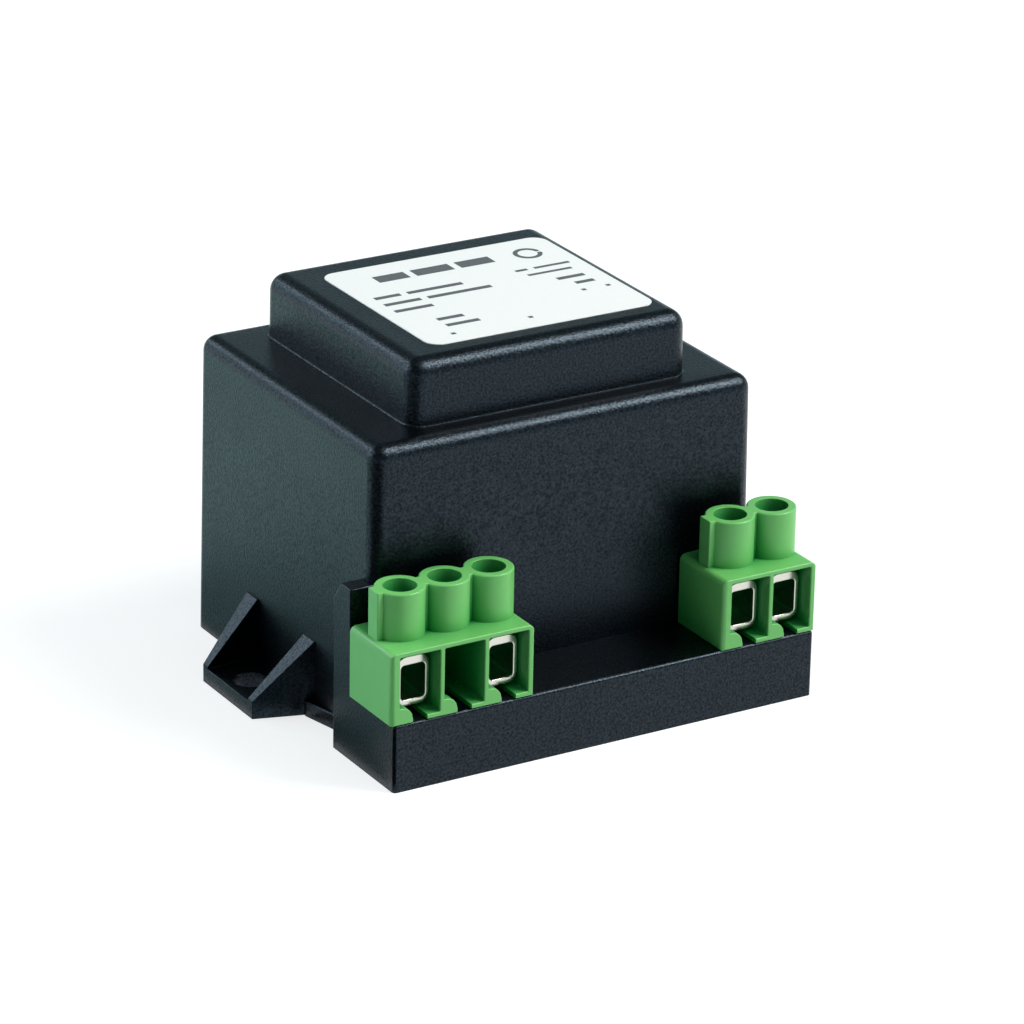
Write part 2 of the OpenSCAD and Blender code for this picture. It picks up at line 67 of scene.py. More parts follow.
def linear(hex_code):
    """Linear RGBA of an sRGB hex colour."""
    srgb = np.array([int(hex_code[i:i + 2], 16) for i in (1, 3, 5)]) / 255
    rgb = np.where(srgb <= 0.04045, srgb / 12.92, ((srgb + 0.055) / 1.055) ** 2.4)
    return (*rgb.tolist(), 1.0)


def size(name, description, millimetres):
    """Property that holds a length, given here in millimetres."""
    return bpy.props.FloatProperty(
        name=name, description=description, default=millimetres * MM, min=0.0, precision=5, unit="LENGTH"
    )


def colour(name, description, hex_code):
    """Property that holds a colour, given here as an sRGB hex value."""
    return bpy.props.FloatVectorProperty(
        name=name, description=description, default=linear(hex_code),
        size=4, min=0.0, max=1.0, subtype="COLOR",
    )


def angle(name, description, degrees):
    """Property that holds an angle, given here in degrees."""
    return bpy.props.FloatProperty(
        name=name, description=description, default=math.radians(degrees), subtype="ANGLE"
    )


def amount(name, description, value):
    """Property that holds a plain number from nought up."""
    return bpy.props.FloatProperty(name=name, description=description, default=value, min=0.0)


class CaseSizes(bpy.types.PropertyGroup):
    """Sizes of the black moulding"""

    case_w: size("Case width", "Width of the case at its foot", 44.66)
    case_d: size("Case depth", "Depth of the case at its foot", 37.66)
    case_h: size("Case height", "Height of the case without its dome", 32.5)
    draft: size("Case draft", "How far each side of the case leans in from foot to top", 0.33)
    edge_r: size("Case edge radius", "Radius of the case's edges", 1.6)
    dome_w: size("Dome width", "Width of the dome at its foot", 32.3)
    dome_d: size("Dome depth", "Depth of the dome at its foot", 30.5)
    dome_draft: size("Dome draft", "How far each side of the dome leans in", 0.05)
    dome_edge_r: size("Dome edge radius", "Radius of the dome's edges", 1.8)
    dome_foot_r: size("Dome foot radius", "Reach of the hollow fillet at the foot of the dome's ends", 0.26)
    dome_foot_front: size("Dome foot front", "Reach of the hollow fillet at the dome's front and back", 0.06)
    wall: size("Dome wall", "Thickness of the lid and of the dome's walls", 1.2)
    core_room: size("Core room", "Room between the core and the case's walls", 0.15)
    lid_room: size("Lid room", "Room between the core and the lid", 0.3)
    shelf_return: size("Shelf return", "How far the shelf's ends run back along the case", 3.95)
    shelf_wall: size("Shelf wall", "Thickness of the shelf's walls", 1.2)
    shelf_edge_r: size("Shelf edge radius", "Radius of the shelf's edges", 0.38)
    small_edge_r: size("Small edge radius", "Radius of the edges of the lugs, post and flanges", 0.22)
    post_h: size("Post height", "Height of the post beside the case", 18.3)
    post_d: size("Post depth", "Depth of the post", 3.5)
    post_flat: size("Post flat", "Length of the level part of the post's top", 2.0)
    post_fall: size("Post fall", "Fall of the sloped part of the post's top", 2.0)
    lug_root_w: size("Lug root width", "Width of a lug at the case", 14.7)
    lug_tip_w: size("Lug tip width", "Width of a lug at its tip", 10.7)
    lug_t: size("Lug thickness", "Thickness of a lug's floor", 1.67)
    rib_h: size("Rib height", "Height of a lug's ribs at the case", 8.0)
    rib_root_t: size("Rib root thickness", "Thickness of a rib at the case", 2.4)
    rib_tip_t: size("Rib tip thickness", "Thickness of a rib at the tip", 1.05)
    hole_d: size("Hole diameter", "Diameter of the screw hole in a lug", 3.6)
    hole_reach: size("Hole reach", "Distance of the screw hole from the case", 3.47)
    flange_w: size("Flange width", "Width of the foot flange where it leaves the lug", 1.0)
    flange_l: size("Flange length", "Length of the foot flange from the lug forwards", 4.4)
    pin_room: size("Pin room", "Room round a solder pin in the shelf", 0.1)


class TerminalSizes(bpy.types.PropertyGroup):
    """Sizes of the green terminal housings"""

    pitch: size("Pole pitch", "Distance from pole to pole", 5.0)
    end_wall: size("Left wall", "Thickness of a block's left end", 1.05)
    right_wall: size("Right wall", "Thickness of a block's right end", 0.6)
    divider: size("Divider", "Thickness of the walls between poles", 0.5)
    back_wall: size("Back wall", "Thickness of a block's back wall", 0.6)
    floor: size("Floor", "Thickness of a block's floor", 0.5)
    plate: size("Top plate", "Thickness of a block's top plate", 0.5)
    end_edge_r: size("End edge radius", "Radius of the top edges of a block's ends", 0.7)
    front_edge_r: size("Front edge radius", "Radius of the upright front edge of a block's left end", 0.55)
    right_edge_r: size("Right edge radius", "Radius of the upright front edge of a block's right end", 0.22)
    soft_r: size("Soft edge radius", "Radius of all the other moulded edges", 0.13)
    axis_depth: size("Axis depth", "Distance of the screw axes behind a block's front", 4.72)
    chimney_h: size("Chimney height", "Height of a chimney above the top plate", 5.0)
    bore: size("Chimney bore", "Bore of a chimney", 3.4)
    chimney_wall: size("Chimney wall", "Wall of a chimney", 0.85)
    rim_r: size("Rim radius", "Radius of the outer edge of a chimney's rim", 0.2)
    mouth_r: size("Mouth radius", "Radius of the inner edge of a chimney's rim", 0.07)
    web_t: size("Web thickness", "Thickness of the web that joins the chimneys", 1.9)
    web_reach: size("Web reach", "Reach of the web to the left of each chimney's axis", 3.0)
    tab_w: size("Tab width", "Width of the stop tab at the foot of each pole", 1.45)
    tab_h: size("Tab height", "Height of the stop tab", 1.7)
    tab_d: size("Tab depth", "Depth of the stop tab", 1.5)
    tab_r: size("Tab radius", "Radius of the stop tab's round end", 1.2)
    tab_edge_r: size("Tab edge radius", "Radius of the stop tab's edges", 0.104)
    slot_reach: size("Pin slot reach", "Reach of the pin slot to the right of each pole's axis", 0.6)
    slot_l: size("Pin slot length", "Length of the slot for a solder pin, from the front", 5.22)


class ClampSizes(bpy.types.PropertyGroup):
    """Sizes of the clamp boxes and their screws"""

    side_t: size("Side thickness", "Thickness of a clamp box's sides", 0.5)
    top_t: size("Top thickness", "Thickness of a clamp box's threaded top", 0.95)
    floor_t: size("Floor thickness", "Thickness of a clamp box's floor", 0.7)
    bend_r: size("Bend radius", "Outer radius of a clamp box's bends", 1.05)
    window_r: size("Window radius", "Radius of the corners of a clamp box's window", 0.4)
    lip_r: size("Lip radius", "Radius of the edges of a clamp box", 0.12)
    screw_d: size("Screw diameter", "Diameter over a screw's thread", 2.5)
    thread_room: size("Thread room", "Room round the thread in the clamp box", 0.05)
    thread_pitch: size("Thread pitch", "Rise of the thread in one turn", 0.45)
    thread_depth: size("Thread depth", "Depth of the thread", 0.24)
    head_h: size("Head height", "Height of a screw's head", 1.4)
    head_edge_r: size("Head edge radius", "Radius of the top edge of a screw's head", 0.22)
    slot_w: size("Slot width", "Width of the driver slot", 0.6)
    slot_depth: size("Slot depth", "Depth of the driver slot", 0.7)


class LabelSizes(bpy.types.PropertyGroup):
    """Sizes of the label and its print"""

    corner_r: size("Corner radius", "Radius of the label's corners", 1.6)
    ink_t: size("Ink thickness", "Height of the print over the film", 0.01)
    edge_r: size("Film edge radius", "Radius of the film's upper edge", 0.03)
    stroke: size("Stroke", "Width of the finest print", 0.5)
    gap: size("Gap", "Distance from one bar of print to the next", 0.8)
    ring_r: size("Ring radius", "Radius of the printed ring", 1.3)


class Finishes(bpy.types.PropertyGroup):
    """Colours of the finishes"""

    case_black: colour("Case black", "Colour of the black nylon", "#020305")
    case_sheen: colour("Case sheen", "Tint of the black nylon's gloss", "#c2e0fa")
    terminal_green: colour("Terminal green", "Colour of the green nylon", "#6dc069")
    # Painted shade: ambient occlusion mixes this darker green into the nylon's colour in its hollows and
    # corners
    hollow_shade_green: colour("Hollow green", "Colour of the green nylon deep in its hollows", "#108440")
    nickel: colour("Nickel", "Colour of the bright nickel plate", "#d3d2c8")
    zinc: colour("Zinc", "Colour of the zinc plate", "#b4b8bb")
    film_white: colour("Film white", "Colour of the label's film", "#f2f3f3")
    ink_grey: colour("Ink grey", "Colour of the print", "#44484c")
    resin_brown: colour("Resin", "Colour of the casting resin", "#2a2622")
    steel_grey: colour("Core steel", "Colour of the electrical sheet", "#8b8f94")
    bobbin_cream: colour("Bobbin", "Colour of the natural nylon", "#d8d2c0")
    copper: colour("Copper", "Colour of the enamelled wire", "#b5652b")
    tape_yellow: colour("Tape", "Colour of the polyester tape", "#d9b13b")
    tin: colour("Tin", "Colour of the tinned brass", "#d9d4bd")
    primary_red: colour("Primary sleeve", "Colour of the primary leads' sleeves", "#b23a30")
    secondary_blue: colour("Secondary sleeve", "Colour of the secondary leads' sleeves", "#2f5ea8")


class StageSettings(bpy.types.PropertyGroup):
    """Camera, lights and floor"""

    azimuth: angle("Azimuth", "Turn of the camera from the front towards the left", 31.143)
    elevation: angle("Elevation", "Height of the camera over the horizon", 22.44)
    roll: angle("Roll", "Lean of the camera", 1.123)
    distance: size("Distance", "Distance of the camera from its aim", 506.62)
    aim: bpy.props.FloatVectorProperty(
        name="Aim", description="Place that the camera looks at", subtype="TRANSLATION", unit="LENGTH",
        default=(-5.16 * MM, -12.37 * MM, 22.11 * MM),
    )
    focal: bpy.props.FloatProperty(
        name="Focal length", description="Lens of the camera", default=179.23, unit="CAMERA"
    )
    floor_pale: colour("Floor", "Colour of the floor", "#a9adaf")
    floor_glow: amount("Floor glow", "What the floor adds to its own light where it is seen", 0.74)
    sky_tint: colour("Sky", "Colour of the light from all round", "#c8eaf3")
    key: amount("Key", "Radiance of the lamp at the front right", 15.7)
    front: amount("Front", "Radiance of the lamp at the front", 1.5)
    fill: amount("Fill", "Radiance of the lamp at the left, towards the back", 3.6)
    rim: amount("Rim", "Radiance of the lamp at the back left", 5.0)


def new_object(name, points, faces):
    """Object at the origin, with its place in its mesh."""
    mesh = bpy.data.meshes.new(name)
    mesh.from_pydata(np.reshape(points, (-1, 3)).tolist(), [], faces)
    piece = bpy.data.objects.new(name, mesh)
    bpy.context.scene.collection.objects.link(piece)
    return piece


def quarter(steps):
    """Angles of a quarter turn."""
    return np.linspace(0.0, math.pi / 2, steps + 1)


def round_edge(radius, steps):
    """Quarter circle from a wall up to a top: how far each row lies in from the wall, and how far below the
    top."""
    turn = quarter(steps)
    return radius * (1 - np.cos(turn)), radius * (1 - np.sin(turn))


def round_loop(half_a, half_b, radius, steps):
    """Rectangle with round corners, one for each row: a corner's centre lies a radius inside both sides, and
    the loop runs round it through a quarter turn."""
    half_a, half_b, radius = (np.asarray(values, float)[..., None] for values in (half_a, half_b, radius))
    turn = np.concatenate([quarter(steps) + corner * math.pi / 2 for corner in range(4)])
    side_a = np.repeat([1, -1, -1, 1], steps + 1)
    side_b = np.repeat([1, 1, -1, -1], steps + 1)
    loop_a = side_a * (half_a - radius) + radius * np.cos(turn)
    loop_b = side_b * (half_b - radius) + radius * np.sin(turn)
    return loop_a, loop_b


def stacked(loop_a, loop_b, heights, axis):
    """Rows of loops at their heights along an axis, as points. Seen from the end, a loop is anticlockwise."""
    heights = np.broadcast_to(np.asarray(heights, float)[..., None], np.shape(loop_a))
    return np.roll(np.stack([loop_a, loop_b, heights], -1), {"z": 0, "x": 1, "y": 2}[axis], axis=-1)


def skin(rows, cols, first=0, ring=False):
    """Faces over rows of loops: quads between neighbours, and one face at each end or, on a ring, none."""
    grid = first + np.arange(rows * cols).reshape(rows, cols)
    here, there = (grid, np.roll(grid, -1, 0)) if ring else (grid[:-1], grid[1:])
    quads = np.stack([here, np.roll(here, -1, 1), np.roll(there, -1, 1), there], -1)
    ends = [] if ring else [grid[0][::-1].tolist(), grid[-1].tolist()]
    return quads.reshape(-1, 4).tolist() + ends


def loft(name, points, ring=False):
    """Object whose skin runs over rows of loops."""
    return new_object(name, points, skin(*points.shape[:2], ring=ring))


def prism(name, axis, outline, low, high, radius, corner_r=None, steps=3):
    """Convex outline carried along an axis, with all its edges round: a corner's centre lies its own radius
    inside both sides, each row runs round the centres at its own reach, and at both ends that reach falls by
    the end's radius along a quarter circle, down to a trace of it, so that no corner closes to a point."""
    trace = 0.02
    outline = np.asarray(outline, float)
    corner_r = np.broadcast_to(radius if corner_r is None else corner_r, len(outline))
    edge = np.roll(outline, -1, 0) - outline
    normal = np.stack([edge[:, 1], -edge[:, 0]], -1) / np.linalg.norm(edge, axis=1)[:, None]
    before = np.roll(normal, 1, 0)
    inwards = np.broadcast_to(-corner_r[:, None, None], (len(outline), 2, 1))
    shrink = np.linalg.solve(np.stack([before, normal], 1), inwards)[..., 0]
    start = np.arctan2(before[:, 1], before[:, 0])
    sweep = (np.arctan2(normal[:, 1], normal[:, 0]) - start) % (2 * math.pi)
    turn = (start[:, None] + sweep[:, None] * np.linspace(0, 1, steps + 1)).ravel()
    centre = np.repeat(outline + shrink, steps + 1, 0)
    edge_in, edge_down = round_edge(radius, steps)
    end_r = (radius - np.concatenate([edge_down, edge_in])).clip(trace * radius)[:, None]
    reach = np.repeat(corner_r - radius, steps + 1) + end_r
    heights = np.concatenate([low + edge_in, high - edge_down])
    loop_a = centre[:, 0] + reach * np.cos(turn)
    loop_b = centre[:, 1] + reach * np.sin(turn)
    return loft(name, stacked(loop_a, loop_b, heights, axis))


def turned(name, centre, radii, heights, segments=72):
    """Profile turned round an upright axis: each row is a circle of its own radius at its own height."""
    turn = np.linspace(0, 2 * math.pi, segments, endpoint=False)
    radii = np.asarray(radii, float)[:, None]
    loop_x = centre[0] + radii * np.cos(turn)
    loop_y = centre[1] + radii * np.sin(turn)
    return loft(name, stacked(loop_x, loop_y, heights, "z"))


def block(name, low, high):
    """Plain block between two corners: its lower rectangle carried up to its upper one."""
    loop_x = np.tile([low[0], high[0], high[0], low[0]], (2, 1))
    loop_y = np.tile([low[1], low[1], high[1], high[1]], (2, 1))
    return loft(name, stacked(loop_x, loop_y, [low[2], high[2]], "z"))


def apply_modifiers(piece):
    """Makes what the modifiers give the piece's own mesh."""
    graph = bpy.context.evaluated_depsgraph_get()
    mesh = bpy.data.meshes.new_from_object(piece.evaluated_get(graph))
    old = piece.data
    piece.modifiers.clear()
    piece.data = mesh
    bpy.data.meshes.remove(old)


def soften(piece, radius, segments):
    """Rounds the sharp edges of a piece."""
    bevel = piece.modifiers.new("soft_edges", "BEVEL")
    bevel.width = radius
    bevel.segments = segments
    bevel.limit_method = "ANGLE"
    bevel.angle_limit = math.radians(40)
    bevel.miter_outer = "MITER_ARC"


def carve(solids, cuts=(), bounds=()):
    """First solid, with the others joined to it, kept within the bounds and less the cuts, as one skin."""
    whole = solids[0]
    tools = [(solid, "UNION") for solid in solids[1:]]
    tools += [(bound, "INTERSECT") for bound in bounds]
    tools += [(cut, "DIFFERENCE") for cut in cuts]
    for tool, operation in tools:
        step = whole.modifiers.new(tool.name, "BOOLEAN")
        step.object = tool
        step.operation = operation
        step.solver = "MANIFOLD"
    apply_modifiers(whole)
    for tool, _ in tools:
        bpy.data.objects.remove(tool)
    if not len(whole.data.polygons):
        raise RuntimeError(f"{whole.name} came out empty")
    return whole


def finish_piece(piece, material, node, body=FIXED_BODY):
    """Shades a piece smooth between sharp edges, keeps large faces flat and puts it in its node's place."""
    piece.data.shade_smooth()
    piece.data.set_sharp_from_angle(angle=math.radians(35))
    flat = piece.modifiers.new("flat_faces", "WEIGHTED_NORMAL")
    flat.keep_sharp = True
    piece.data.materials.clear()
    piece.data.materials.append(material)
    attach(piece, body)
    if node:
        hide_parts(node)


def set_inputs(tree, node, inputs):
    """Gives each input of a node its value, or the link to another node's output."""
    for name, value in inputs.items():
        if isinstance(value, bpy.types.NodeSocket):
            tree.links.new(value, node.inputs[name])
        else:
            node.inputs[name].default_value = value


def add_node(tree, kind, inputs=None, **settings):
    """One shader node with its settings and links."""
    node = tree.nodes.new(f"ShaderNode{kind}")
    for name, value in settings.items():
        setattr(node, name, value)
    set_inputs(tree, node, inputs or {})
    return node


def new_material(name):
    """Empty material with its shader linked, and the object's own coordinates."""
    material = bpy.data.materials.new(name)
    material.use_nodes = True
    tree = material.node_tree
    tree.nodes.clear()
    shader = add_node(tree, "BsdfPrincipled")
    add_node(tree, "OutputMaterial", {"Surface": shader.outputs["BSDF"]})
    return material, tree, shader, add_node(tree, "TexCoord").outputs["Object"]


def grained_black_nylon(look):
    """Black glass-filled nylon from a spark-eroded mould: a low cool sheen, which the grain breaks into fine
    sparkle."""
    grain_mm, cloud_mm, depth_mm = 0.25, 5.0, 0.036
    material, tree, shader, place = new_material("grained_black_nylon")
    grain = add_node(tree, "TexNoise", {"Vector": place, "Scale": 1 / (grain_mm * MM), "Detail": 2.0})
    cloud = add_node(tree, "TexNoise", {"Vector": place, "Scale": 1 / (cloud_mm * MM), "Detail": 3.0})
    rough = add_node(tree, "MapRange", {
        "Value": cloud.outputs["Fac"], "From Min": 0.3, "From Max": 0.7, "To Min": 0.29, "To Max": 0.35,
    })
    # The pits of the grain hold back a part of the gloss
    gloss = add_node(tree, "MapRange", {
        "Value": grain.outputs["Fac"], "From Min": 0.3, "From Max": 0.7, "To Min": 0.18, "To Max": 0.61,
    })
    bump = add_node(tree, "Bump", {"Distance": depth_mm * MM, "Height": grain.outputs["Fac"]})
    set_inputs(tree, shader, {
        "Base Color": look.case_black, "Specular Tint": look.case_sheen, "Roughness": rough.outputs["Result"],
        "Specular IOR Level": gloss.outputs["Result"], "Normal": bump.outputs["Normal"],
    })
    return material


def satin_green_nylon(look):
    """Green nylon from a polished mould: an even satin colour with a faint cloudiness in its gloss, and
    painted shade in its hollows, where ambient occlusion darkens the colour and weakens the gloss."""
    cloud_mm, grain_mm, depth_mm, shade_reach_mm = 1.6, 0.2, 0.01, 9.0
    material, tree, shader, place = new_material("satin_green_nylon")
    cloud = add_node(tree, "TexNoise", {"Vector": place, "Scale": 1 / (cloud_mm * MM), "Detail": 4.0})
    cloudy = add_node(tree, "Mix", {
        "Factor": cloud.outputs["Fac"], "A": look.terminal_green, "B": linear("#77c771"),
    }, data_type="RGBA")
    # Painted shade: ambient occlusion darkens the colour towards the hollow shade green in hollows, corners
    # and between parts
    occlusion_shade = add_node(tree, "AmbientOcclusion", {"Distance": shade_reach_mm * MM}, samples=8)
    depth = add_node(tree, "MapRange", {"Value": occlusion_shade.outputs["AO"], "From Min": 0.2, "From Max": 0.78})
    tone = add_node(tree, "Mix", {
        "Factor": depth.outputs["Result"], "A": look.hollow_shade_green, "B": cloudy.outputs["Result"],
    }, data_type="RGBA")
    rough = add_node(tree, "MapRange", {"Value": cloud.outputs["Fac"], "To Min": 0.28, "To Max": 0.4})
    grain = add_node(tree, "TexNoise", {"Vector": place, "Scale": 1 / (grain_mm * MM), "Detail": 1.0})
    bump = add_node(tree, "Bump", {
        "Strength": 0.15, "Distance": depth_mm * MM, "Height": grain.outputs["Fac"],
    })
    # Painted shade on the gloss as well: it is weaker where ambient occlusion finds a hollow, as little of
    # the bright room reaches its walls
    gloss = add_node(tree, "MapRange", {"Value": depth.outputs["Result"], "To Min": 0.06, "To Max": 0.5})
    set_inputs(tree, shader, {
        "Base Color": tone.outputs["Result"], "Roughness": rough.outputs["Result"], "IOR": 1.46,
        "Specular IOR Level": gloss.outputs["Result"], "Normal": bump.outputs["Normal"],
    })
    return material


def plated_metal(name, tint, roughness):
    """Plated metal strip or wire: a bright mirror softened by fine drawing marks along its length."""
    # Real marks are too fine to show in the render, so they are drawn this wide
    mark_mm, depth_mm = 0.15, 0.006
    material, tree, shader, place = new_material(name)
    stretch = add_node(tree, "Mapping", {"Vector": place, "Scale": (1.0, 0.08, 1.0)})
    marks = add_node(tree, "TexNoise", {
        "Vector": stretch.outputs["Vector"], "Scale": 1 / (mark_mm * MM), "Detail": 3.0,
    })
    rough = add_node(tree, "MapRange", {
        "Value": marks.outputs["Fac"], "To Min": roughness * 0.7, "To Max": roughness * 1.4,
    })
    bump = add_node(tree, "Bump", {
        "Strength": 0.2, "Distance": depth_mm * MM, "Height": marks.outputs["Fac"],
    })
    set_inputs(tree, shader, {
        "Base Color": tint, "Metallic": 1.0, "Roughness": rough.outputs["Result"],
        "Normal": bump.outputs["Normal"],
    })
    return material


def speckled(name, tint, other, speck_mm, roughness, depth_mm=0.01):
    """Plain moulded, cast or printed surface: its colour drifts a little and fine grain breaks its gloss."""
    material, tree, shader, place = new_material(name)
    speck = add_node(tree, "TexNoise", {"Vector": place, "Scale": 1 / (speck_mm * MM), "Detail": 4.0})
    tone = add_node(tree, "Mix", {"Factor": speck.outputs["Fac"], "A": tint, "B": other}, data_type="RGBA")
    bump = add_node(tree, "Bump", {
        "Strength": 0.2, "Distance": depth_mm * MM, "Height": speck.outputs["Fac"],
    })
    set_inputs(tree, shader, {
        "Base Color": tone.outputs["Result"], "Roughness": roughness, "Normal": bump.outputs["Normal"],
    })
    return material


def striped(name, tint, other, pitch_mm, axis, metallic, roughness, depth_mm=0.05):
    """Stack of sheets or a layer of turns: bands of light and shade at the pitch of the sheets or wires."""
    material, tree, shader, place = new_material(name)
    # A band of the pattern is this wide where its scale is one
    band = math.pi / 10
    bands = add_node(tree, "TexWave", {
        "Vector": place, "Scale": band / (pitch_mm * MM), "Distortion": 0.2,
    }, bands_direction=axis)
    tone = add_node(tree, "Mix", {"Factor": bands.outputs["Fac"], "A": other, "B": tint}, data_type="RGBA")
    bump = add_node(tree, "Bump", {
        "Strength": 0.6, "Distance": depth_mm * MM, "Height": bands.outputs["Fac"],
    })
    set_inputs(tree, shader, {
        "Base Color": tone.outputs["Result"], "Metallic": metallic, "Roughness": roughness,
        "Normal": bump.outputs["Normal"],
    })
    return material


def case_and_dome(s, centre_y, top):
    """Case and dome as one skin: rounded rectangles whose half sizes, corner radius and height follow the
    profile from the foot up the leaning wall, over the lid's round edge, in to the dome's hollow foot, up and
    over its round top."""
    # Share of a corner's radius that is left at the top, so that no corner closes to a point
    trace = 0.05
    half_w, half_d = s.case_w / 2, s.case_d / 2
    edge_in, edge_down = round_edge(s.edge_r, steps=8)
    inset = np.concatenate([[0, 0], s.draft + edge_in])
    case_r = np.concatenate([[s.edge_r] * 2, (s.edge_r - edge_in).clip(trace * s.edge_r)])
    foot_up, foot_out = round_edge(1.0, steps=5)
    front_out = s.dome_foot_front * foot_out
    dome_in, dome_down = round_edge(s.dome_edge_r, steps=8)
    dome_top_r = (s.dome_edge_r - dome_in).clip(trace * s.dome_edge_r)
    dome_half_w, dome_half_d = s.dome_w / 2, s.dome_d / 2
    dome_inset = s.dome_draft + dome_in
    loop_x, loop_y = round_loop(
        np.concatenate([half_w - inset, dome_half_w + s.dome_foot_r * foot_out, dome_half_w - dome_inset]),
        np.concatenate([half_d - inset, dome_half_d + front_out, dome_half_d - dome_inset]),
        np.concatenate([case_r, s.dome_edge_r + front_out, dome_top_r]),
        steps=8,
    )
    case_z = np.concatenate([[-BITE, 0], s.case_h - edge_down])
    heights = np.concatenate([case_z, s.case_h + s.dome_foot_r * foot_up, top - dome_down])
    return loft("moulded_case", stacked(loop_x, loop_y + centre_y, heights, "z"))


def lug(s, side, centre_y, tip_x):
    """Fixing lug: a trough carried outwards from the case, whose walls fall nearly to its floor at the tip.
    Each row is the trough's section: the outer walls, the two rib tops and the floor between them."""
    root_x = s.case_w / 2 - BITE
    x = np.array([root_x, s.case_w / 2, tip_x])
    outer = np.interp(x, [root_x, tip_x], [s.lug_root_w / 2, s.lug_tip_w / 2])
    inner_ends = [s.lug_root_w / 2 - s.rib_root_t, s.lug_tip_w / 2 - s.rib_tip_t]
    inner = np.interp(x, [root_x - BITE, tip_x + BITE], inner_ends)
    top = np.array([s.rib_h, s.rib_h, s.lug_t + s.small_edge_r])
    floor, foot = np.full(len(x), s.lug_t), np.full(len(x), -BITE)
    y = np.stack([-outer, outer, outer, inner, inner, -inner, -inner, -outer], -1)
    z = np.stack([foot, foot, top, top, floor, floor, top, top], -1)
    points = np.stack([np.broadcast_to(x[:, None], y.shape), y + centre_y, z], -1)
    piece = loft(f"lug_{side}", points if side > 0 else (points * [-1, 1, 1])[::-1])
    soften(piece, s.small_edge_r, segments=3)
    return piece


def case_rooms(s, centre_y, shelf_h):
    """Rooms of the core, the coil and the leads, and the slots for the pins in the shelf, as cuts."""
    core_low, core_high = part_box("e_laminations")
    yoke_low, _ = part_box("i_laminations")
    resin_low, resin_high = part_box("potting_compound")
    front = yoke_low.y - s.core_room
    case_low = (core_low.x - s.core_room, front, -BITE)
    case_high = (core_high.x + s.core_room, core_high.y + s.core_room, core_high.z + s.lid_room)
    half_w, half_d = s.dome_w / 2 - s.wall, s.dome_d / 2 - s.wall
    under_shelf = shelf_h - s.shelf_wall
    cuts = [
        block("case_room", case_low, case_high),
        block("dome_room", (-half_w, centre_y - half_d, 0), (half_w, centre_y + half_d, resin_high.z)),
        block("shelf_room", (resin_low.x, resin_low.y, -BITE), (resin_high.x, front + BITE, under_shelf)),
    ]
    room = Vector((s.pin_room, s.pin_room, 0))
    for pole in POLES:
        pin_low, pin_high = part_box(pole.format("pin"))
        pin_low.z, pin_high.z = under_shelf - BITE, shelf_h + BITE
        cuts.append(block(pole.format("slot"), pin_low - room, pin_high + room))
    return cuts


class TRANSFORMER_OT_moulded_case(bpy.types.Operator):
    """Builds the black moulding: case with dome, shelf, post, lugs and foot flanges, hollow for the resin"""

    bl_idname = "transformer.moulded_case"
    bl_label = "Moulded case"

    def execute(self, context):
        s = context.scene.case_sizes
        low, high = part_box("housing")
        block_low, block_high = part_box("secondary_terminal_housing")
        centre_y = high.y - s.case_d / 2
        shelf_back = high.y - s.case_d + s.shelf_return
        shelf_half, shelf_h = block_high.x, block_low.z
        lug_front = centre_y - s.lug_root_w / 2
        post_front = shelf_back - s.post_d
        shelf = [
            (-shelf_half, low.y), (shelf_half, low.y), (shelf_half, shelf_back), (-shelf_half, shelf_back),
        ]
        post = [
            (post_front, -BITE), (shelf_back, -BITE), (shelf_back, s.post_h - s.post_fall),
            (post_front + s.post_flat, s.post_h), (post_front, s.post_h),
        ]
        near = s.case_w / 2 - s.draft - BITE
        wide, rear, tip = s.case_w / 2 + s.flange_w, lug_front + s.rib_root_t, lug_front - s.flange_l
        flange = [(near, tip), (s.case_w / 2, tip), (wide, lug_front), (wide, rear), (near, rear)]
        solids = [
            case_and_dome(s, centre_y, high.z),
            prism("shelf", "z", shelf, -BITE, shelf_h, s.shelf_edge_r),
            prism("post", "x", post, -shelf_half, -near, s.small_edge_r),
        ]
        # Everything reaches below the mounting plane and is cut off there, so the foot has sharp edges
        far = 1.0
        cuts = [block("below", (-far, -far, -BITE * 2), (far, far, 0))]
        for side in (-1, 1):
            outline = flange if side > 0 else [(-x, y) for x, y in flange[::-1]]
            solids.append(lug(s, side, centre_y, high.x))
            solids.append(prism(f"flange_{side}", "z", outline, -BITE, s.lug_t, s.small_edge_r))
            hole = (side * (s.case_w / 2 + s.hole_reach), centre_y)
            cuts.append(turned(f"hole_{side}", hole, [s.hole_d / 2] * 2, [-BITE, s.rib_h]))
        cuts += case_rooms(s, centre_y, shelf_h)
        piece = carve(solids, cuts)
        finish_piece(piece, grained_black_nylon(context.scene.finishes), "housing")
        return {"FINISHED"}


def pole_room(s, name, low, high):
    """Room of a pole, as a cut: rounded rectangles from the front backwards, which widen to the front along a
    quarter circle, so that the walls' front edges come out round."""
    edge_back, edge_out = round_edge(s.soft_r, steps=4)
    flare = np.concatenate([[s.soft_r], edge_out, [0]])
    depth = np.concatenate([[low.y - BITE], low.y + edge_back, [high.y]])
    half, middle = (high - low) / 2, (high + low) / 2
    loop_z, loop_x = round_loop(half.z + flare, half.x + flare, s.soft_r + flare, steps=3)
    return loft(name, stacked(loop_z + middle.z, loop_x + middle.x, depth, "y"))


